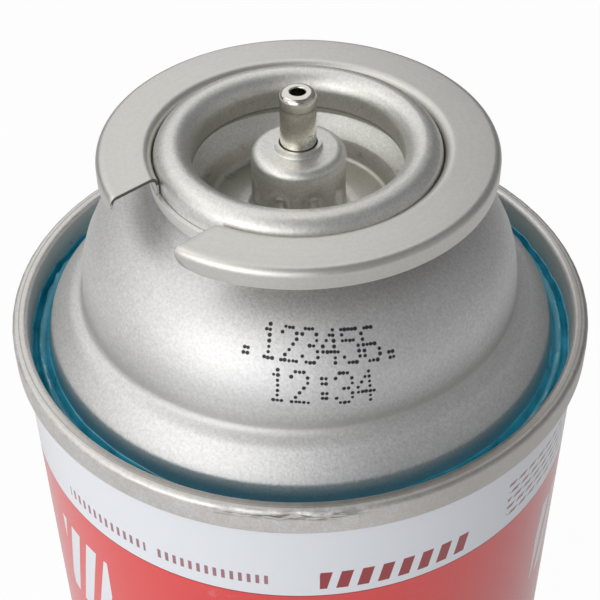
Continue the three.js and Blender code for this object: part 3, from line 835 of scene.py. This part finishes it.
class CANISTER_OT_code(bpy.types.Operator):
    """Prints the two rows of numbers as low dots of ink"""

    bl_idname = "canister.code"
    bl_label = "Print numbers"

    def execute(self, context):
        can, dome, cup, collar, code = groups(context, "can", "dome", "cup", "collar", "code")
        skin = path_beside(dome_line(can, dome, cup, collar), -can.end_sheet / 2)
        skin = skin[np.argmax(skin[:, 1] > can.height + dome.crease_height) :]
        way = np.concatenate([[0], np.cumsum(np.linalg.norm(np.diff(skin, axis=0), axis=1))])
        start = np.interp(can.height + code.foot, skin[:20, 1], way[:20])
        pitch, shift = 5.4, 0.7
        cells = []
        for text, row_foot in ((code.lower, 0.0), (code.upper, code.row_gap)):
            for number, character in enumerate(text):
                column = (number - len(text) / 2) * pitch + shift
                cells += [
                    (column + across, row_foot + (6 - row) * code.upwards)
                    for row, dots in enumerate(GLYPHS[character])
                    for across, dot in enumerate(dots)
                    if dot == "#"
                ]
        cells = np.array(cells)
        random = np.random.default_rng(5)
        scatter, spread = [0.05, 0.000015], 0.15
        cells += random.normal(0, 1, cells.shape) * scatter
        along = start + cells[:, 1] - cells[:, 0] * code.across * code.lean

        def skin_at(along):
            """Radius and height of the dome's skin at a way along it."""
            return np.stack([np.interp(along, way, skin[:, 0]), np.interp(along, way, skin[:, 1])], axis=1)

        radius, height = skin_at(along).T
        step = 0.0001
        slope = skin_at(along + step) - skin_at(along - step)
        slope /= np.linalg.norm(slope, axis=1)[:, None]
        turn = code.turn + cells[:, 0] * code.across / skin[0, 0]
        centre = round_axis(radius, turn, height)[:, None]
        sideways = np.stack([np.cos(turn), np.sin(turn), np.zeros_like(turn)], axis=1)
        upwards = round_axis(slope[:, 0], turn, slope[:, 1])
        lift = np.cross(sideways, upwards)[:, None] * code.thickness
        size = code.dot * (1 + random.uniform(-spread, spread, len(cells)))[:, None, None]
        sides, brim_share = 12, 0.85
        spoke = size * spokes(sideways, upwards, sides)
        base, brim = centre + spoke - lift * 2, centre + spoke * brim_share + lift
        top, under = centre + lift * 1.2, centre - lift * 2
        vertices = np.concatenate([base, brim, top, under], axis=1)
        first = np.arange(len(cells))[:, None] * vertices.shape[1]
        here = np.arange(sides)
        after = (here + 1) % sides
        apex = np.full(sides, 2 * sides)
        corners = [
            [here, after, after + sides],
            [here, after + sides, here + sides],
            [here + sides, after + sides, apex],
            [after, here, apex + 1],
        ]
        corners = np.moveaxis(np.array(corners), 1, -1).reshape(-1, 3)
        faces = (first[:, :, None] + corners).reshape(-1, 3)
        obj = mesh_object("number_dots", vertices.reshape(-1, 3), faces.tolist())
        g = Graph("black ink")
        speck = g.noise(g.place()[0], 4000, 3)
        g.surface(
            Base_Color=g.mix(speck, (0.008, 0.008, 0.011), (0.03, 0.03, 0.035)),
            Roughness=0.5 + (speck - 0.5) * 0.2,
        )
        obj.data.materials.append(g.material)
        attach(obj, CAN)
        return {"FINISHED"}


class CANISTER_OT_cup(bpy.types.Operator):
    """Builds the valve cup"""

    bl_idname = "canister.cup"
    bl_label = "Build valve cup"

    def execute(self, context):
        can, cup, stem = groups(context, "can", "cup", "stem")
        line = path_filled(cup_line(can, cup, stem), cup.sheet)
        level = can.height + cup.dimple_height
        half_width, half_height, wall_play = 0.0008, 0.0012, 0.0007
        wall_top = can.height + cup.pedestal_top - 0.001

        def dimpled(radius, height, around):
            """Pushes the pedestal's wall in at each dimple, as a smooth egg-shaped hollow."""
            swell = np.cos(around * cup.dimples + np.pi)
            side = np.arccos(np.clip(swell, -1, 1)) / cup.dimples * cup.pedestal_radius
            spot = np.exp(-((side / half_width) ** 2) - ((height - level) / half_height) ** 2)
            wall = (radius < cup.pedestal_radius + wall_play) & (height < wall_top)
            return radius - np.where(wall, spot * cup.dimple_depth, 0), height

        obj = turned_object("mounting_cup_skin", sheet_outline(line, cup.sheet), SIDES, dimpled)

        def layers(g, place, reach, z, turn):
            """Painted shade along the crimp's corner and at the bottom of the well, and scratches from the
            crimping tool.
            """
            rise = (z - can.height) / MM
            # Painted shade: a dark line in the corner under the crimp
            edge = rise.band(18.3, 18.6, 0.1) * reach.band(11.3, 12.4, 0.2)
            # Painted shade at the bottom of the well
            painted_well_shade = reach.band(6.8, 11.2, 0.8) * (1 - rise.ramp(16.0, 19.0))
            scratch = g.noise(g.vector(turn * 0.00012, z, 0), 900, 3, 0.6).ramp(0.6, 0.72)
            return [
                (edge * 0.6, (0.20, 0.17, 0.12), 0.8, 0.5),
                (painted_well_shade * 0.6, (0.38, 0.36, 0.30), 0.9, 0.4),
                (scratch * reach.band(9.2, 11.8, 0.4) * 0.6, (0.30, 0.28, 0.24), 0.9, 0.4),
            ]

        obj.data.materials.append(metal("cup steel", (0.77, 0.76, 0.72), 0.41, 1.3, 0.15, layers=layers))
        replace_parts(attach(obj, CAN), "mounting_cup")
        return {"FINISHED"}


class CANISTER_OT_collar(bpy.types.Operator):
    """Builds the bayonet collar with its notch"""

    bl_idname = "canister.collar"
    bl_label = "Build collar"

    def execute(self, context):
        can, collar = groups(context, "can", "collar")
        skirt = collar.radius - collar.edge_sheet / 2
        sleeve = collar.sleeve_radius - collar.sheet / 2
        flat = can.height + collar.top - collar.edge_sheet / 2
        cut = can.height + collar.top - collar.skirt
        flange = can.height + collar.flange_height
        upper = path_rounded(
            [
                (skirt, cut, 0),
                (skirt, flat, collar.edge_round),
                (sleeve, flat, collar.roll_round),
                (sleeve, cut, 0),
            ]
        )
        lower = path_rounded([(sleeve, cut, 0), (sleeve, flange, 0.0004), (collar.flange_inner, flange, 0)])

        def layers(g, place, reach, z, turn):
            """The dark edge where the notch was cut: partly the raw cut edge, partly painted shade."""
            x = g.place()[1]
            soft, depth = collar.ease / 2, 0.0009
            edge = collar.notch / 2 + soft
            # Partly the raw cut edge, partly painted shade at the cut
            cut_edge_and_shade = (1 - x.abs().ramp(edge, edge + soft)) * (turn.abs() < 60) * (z > flat - depth)
            return [(cut_edge_and_shade * 0.85, (0.06, 0.055, 0.05), 0.6, 0.6)]

        material = metal("collar steel", (0.70, 0.68, 0.64), 0.42, 0.5, 0.12, layers=layers)
        ring = turned_object("collar_sleeve_skin", sheet_outline(lower, collar.sheet), SIDES)
        # A lighter copy of the collar's steel: a painted highlight on the sleeve
        ring.data.materials.append(metal("collar sleeve steel painted light", (0.88, 0.87, 0.85), 0.36, 0.5, 0.12))
        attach(ring, CAN)

        ease, spacing, skirt_bend = collar.ease, 0.0003, 0.002
        rounds = [(0.0, ease), (ease * 0.3, ease * 0.3), (ease, 0.0)]
        upper = path_filled(upper, spacing)
        slices = [(off, sheet_outline(upper, collar.edge_sheet - 2 * inset), 0.0) for off, inset in rounds]
        slices += [(ease, slices[-1][1], along) for along in np.linspace(0, 1, COLLAR_SIDES + 1)[1:-1]]
        slices += [(off, outline, 1.0) for off, outline, _ in slices[2::-1]]
        rings = []
        for off, outline, along in slices:
            radius, height = outline.T
            drop = np.clip((flat - collar.edge_sheet / 2 - height) / (collar.skirt - collar.edge_sheet), 0, 1)
            flare = np.where(radius > sleeve + skirt_bend, collar.flare * (1 - np.sqrt(1 - drop)) ** 2, 0)
            half = np.arcsin((collar.notch / 2 + off + flare) / radius)
            turn = half + along * (2 * np.pi - 2 * half)
            rings.append(round_axis(radius, turn, height))
        obj = tube_object("collar_ring_skin", np.stack(rings)[:, ::-1])
        obj.data.materials.append(material)
        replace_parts(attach(obj, CAN), "collar_ring")
        return {"FINISHED"}


def spring_object(stem):
    """The coil spring under the stem, with a closed turn at each end, and the heights of its ends.

    At share s of its length the wire's middle is at turn a = 2 pi s n and height low + (high - low) c, where
    c rises from 0 half a turn after the start to 1 half a turn before the end.
    """
    lowest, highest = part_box("valve_spring")
    wire = stem.spring_wire / 2
    low, high, reach = lowest.z + wire, highest.z - wire, highest.x - wire
    turns, steps, sides = stem.spring_turns, stem.spring_turns * 32, 10
    share = np.linspace(0, 1, steps + 1)
    around = share * turns * 2 * np.pi
    height = low + (high - low) * np.clip((share * turns - 0.5) / (turns - 1), 0, 1)
    outwards = np.stack([np.cos(around), np.sin(around), np.zeros_like(around)], axis=1)
    middle = reach * outwards
    middle[:, 2] = height
    along = np.gradient(middle, axis=0)
    along /= np.linalg.norm(along, axis=1)[:, None]
    across = np.cross(along, outwards)
    rings = middle[:, None] + wire * spokes(outwards, across, sides)
    return tube_object("valve_spring_wire", rings), low, high


class CANISTER_OT_valve(bpy.types.Operator):
    """Builds the valve stem and gives the hidden valve pieces their materials"""

    bl_idname = "canister.valve"
    bl_label = "Build valve"

    def execute(self, context):
        can, stem = groups(context, "can", "stem")
        under = stem.flange_top - stem.flange
        corners = [
            (0, under - stem.boss, 0),
            (stem.boss_radius, under - stem.boss, 0.0002),
            (stem.boss_radius, under, 0),
            (stem.flange_radius, under, 0.0002),
            (stem.flange_radius, stem.flange_top, 0.0002),
            (stem.radius, stem.flange_top, 0),
            (stem.radius, stem.top, 0.0006),
            (stem.bore, stem.top, 0.00018),
            (stem.bore, stem.top - stem.bore_depth, 0),
            (0, stem.top - stem.bore_depth, 0),
        ]
        obj = turned_object("valve_stem_skin", path_raised(can, corners), STEM_SIDES)

        def layers(g, place, reach, z, turn):
            """Tan and dark patches, partly worn plating and partly painted reflection, a painted dark
            reflection line under the smooth tip, and the smooth tip itself.
            """
            down = (can.height + stem.top - z) / MM
            wear_and_reflection = g.noise(place, 1300, 4, 0.7)
            shaft = down.ramp(1.6, 2.2)
            return [
                ((1 - shaft) * 0.8, (0.62, 0.58, 0.53), 1.0, 0.1),
                # Tan and dark patches: partly worn plating, partly painted reflection
                (wear_and_reflection.ramp(0.46, 0.6) * shaft * 0.75, (0.74, 0.64, 0.50), 0.95, 0.26),
                ((1 - wear_and_reflection.ramp(0.32, 0.42)) * shaft * 0.6, (0.18, 0.16, 0.14), 0.8, 0.4),
                # A painted reflection: the dark line under the tip
                (down.band(1.6, 1.75, 0.08) * 0.45, (0.12, 0.11, 0.10), 0.8, 0.4),
            ]

        obj.data.materials.append(metal("plated stem", (0.92, 0.89, 0.82), 0.2, 0.4, 0.2, 0.1, layers))
        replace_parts(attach(obj, STEM), "valve_stem")

        # Colour and roughness of each piece that can't be seen
        hidden = {
            "cup_seal": ((0.02, 0.02, 0.02), 0.7),
            "stem_gasket": ((0.02, 0.02, 0.02), 0.7),
            "valve_housing": ((0.80, 0.79, 0.74), 0.45),
            "gas_inlet_tube": ((0.78, 0.77, 0.72), 0.45),
        }
        for name, (base, roughness) in hidden.items():
            g = Graph(name + " plastic")
            grain = g.noise(g.place()[0], 3000, 3)
            dark = tuple(c * 0.9 for c in base)
            g.surface(
                Base_Color=g.mix(grain, dark, base),
                Roughness=roughness + (grain - 0.5) * 0.1,
                Normal=g.bump(grain, 0.00001),
            )
            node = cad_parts[name]
            node.data.materials.clear()
            node.data.materials.append(g.material)
        spring, low, high = spring_object(stem)
        spring.data.materials.append(metal("spring wire", (0.66, 0.66, 0.66), 0.25, 0.2, 0.1))
        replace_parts(spring, "valve_spring")
        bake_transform(spring)
        return {"FINISHED"}


def direction(azimuth, elevation):
    """The unit vector at a turn from -Y towards +X and a height over the horizon, in radians."""
    level = math.cos(elevation)
    return Vector((math.sin(azimuth) * level, -math.cos(azimuth) * level, math.sin(elevation)))


class CANISTER_OT_studio(bpy.types.Operator):
    """Places the floor, the lamps and the camera at the photograph's angle"""

    bl_idname = "canister.studio"
    bl_label = "Build studio"

    def execute(self, context):
        scene = context.scene
        can, studio = groups(context, "can", "studio")
        half = studio.floor_size / 2
        corners = [(-half, -half, 0), (half, -half, 0), (half, half, 0), (-half, half, 0)]
        floor = mesh_object("floor", corners, [(0, 1, 2, 3)])
        g = Graph("floor paper")
        g.surface(Base_Color=tuple(studio.floor), Roughness=0.9)
        glow = g.node("ShaderNodeEmission", Color=(1, 1, 1), Strength=1.0)
        seen = g.node("ShaderNodeLightPath", "Is Camera Ray")
        mirrored = g.node("ShaderNodeLightPath", "Is Glossy Ray")
        blend = g.nodes.new("ShaderNodeMixShader")
        g.feed(blend.inputs[0], seen * studio.floor_glow + mirrored * studio.floor_mirrored)
        g.links.new(g.shader.outputs[0], blend.inputs[1])
        g.links.new(glow.socket, blend.inputs[2])
        g.links.new(blend.outputs[0], g.nodes["Material Output"].inputs["Surface"])
        floor.data.materials.append(g.material)

        world = bpy.data.worlds.new("room")
        world.use_nodes = True
        background = world.node_tree.nodes["Background"]
        background.inputs["Color"].default_value = (*studio.world, 1)
        background.inputs["Strength"].default_value = studio.world_light
        scene.world = world

        centre = Vector((0, 0, can.height))
        # Name, turn from the camera and height over the horizon in degrees, distance, size, watts, colour
        lamps = [
            ("key_lamp", -66, 37, 0.9, 1.2, 4.3, (1, 0.99, 0.97)),
            ("top_lamp", -150, 52, 0.9, 1.1, 3.2, (1, 1, 1)),
            ("front_lamp", -28, 11, 0.9, 0.9, 4.4, (0.97, 0.98, 1)),
            ("side_lamp", 70, 12, 0.9, 1.1, 0.5, (1, 1, 1)),
        ]
        for name, turn, elevation, distance, size, power, tint in lamps:
            lamp = bpy.data.lights.new(name, "AREA")
            lamp.shape = "SQUARE"
            lamp.size = size
            lamp.energy = power
            lamp.color = tint
            way = direction(studio.azimuth + math.radians(turn), math.radians(elevation))
            obj = bpy.data.objects.new(name, lamp)
            obj.location = centre + way * distance
            obj.rotation_euler = way.to_track_quat("Z", "Y").to_euler()
            scene.collection.objects.link(obj)

        camera = bpy.data.cameras.new("photo_camera")
        camera.lens = studio.lens
        camera.sensor_width = 36
        camera.clip_start = 0.01
        obj = bpy.data.objects.new("photo_camera", camera)
        back = direction(studio.azimuth, studio.elevation)
        right = Vector((math.cos(studio.azimuth), math.sin(studio.azimuth), 0))
        facing = Matrix.Rotation(-studio.tilt, 3, right) @ back
        up = facing.cross(right)
        rolled_right = right * math.cos(studio.roll) + up * math.sin(studio.roll)
        rolled_up = up * math.cos(studio.roll) - right * math.sin(studio.roll)
        aim = Matrix((rolled_right, rolled_up, facing)).transposed()
        obj.matrix_world = Matrix.Translation(centre + back * studio.distance) @ aim.to_4x4()
        scene.collection.objects.link(obj)
        scene.camera = obj
        scene.view_settings.view_transform = "Standard"
        return {"FINISHED"}


class CANISTER_PT_panel(bpy.types.Panel):
    """The canister's sizes and its build buttons"""

    bl_label = "Canister"
    bl_idname = "CANISTER_PT_panel"
    bl_space_type = "VIEW_3D"
    bl_region_type = "UI"
    bl_category = "Canister"

    def draw(self, context):
        for name in GROUPS:
            box = self.layout.box()
            box.label(text=name)
            group = getattr(context.scene, "canister_" + name)
            for key in group.__annotations__:
                box.prop(group, key)
        for operator in OPERATORS:
            self.layout.operator(operator.bl_idname)


GROUPS = {
    "can": CanSizes,
    "dome": DomeSizes,
    "cup": CupSizes,
    "collar": CollarSizes,
    "stem": StemSizes,
    "code": CodeSizes,
    "studio": StudioSettings,
}
OPERATORS = (
    CANISTER_OT_can,
    CANISTER_OT_dome,
    CANISTER_OT_code,
    CANISTER_OT_cup,
    CANISTER_OT_collar,
    CANISTER_OT_valve,
    CANISTER_OT_studio,
)


def register():
    for cls in (*GROUPS.values(), *OPERATORS, CANISTER_PT_panel):
        bpy.utils.register_class(cls)
    for name, cls in GROUPS.items():
        setattr(bpy.types.Scene, "canister_" + name, PointerProperty(type=cls))


def unregister():
    for name in GROUPS:
        delattr(bpy.types.Scene, "canister_" + name)
    for cls in reversed((*GROUPS.values(), *OPERATORS, CANISTER_PT_panel)):
        bpy.utils.unregister_class(cls)


def main():
    register()
    bpy.ops.canister.can()
    bpy.ops.canister.dome()
    bpy.ops.canister.code()
    bpy.ops.canister.cup()
    bpy.ops.canister.collar()
    bpy.ops.canister.valve()
    bpy.ops.canister.studio()


if __name__ == "__main__":
    main()
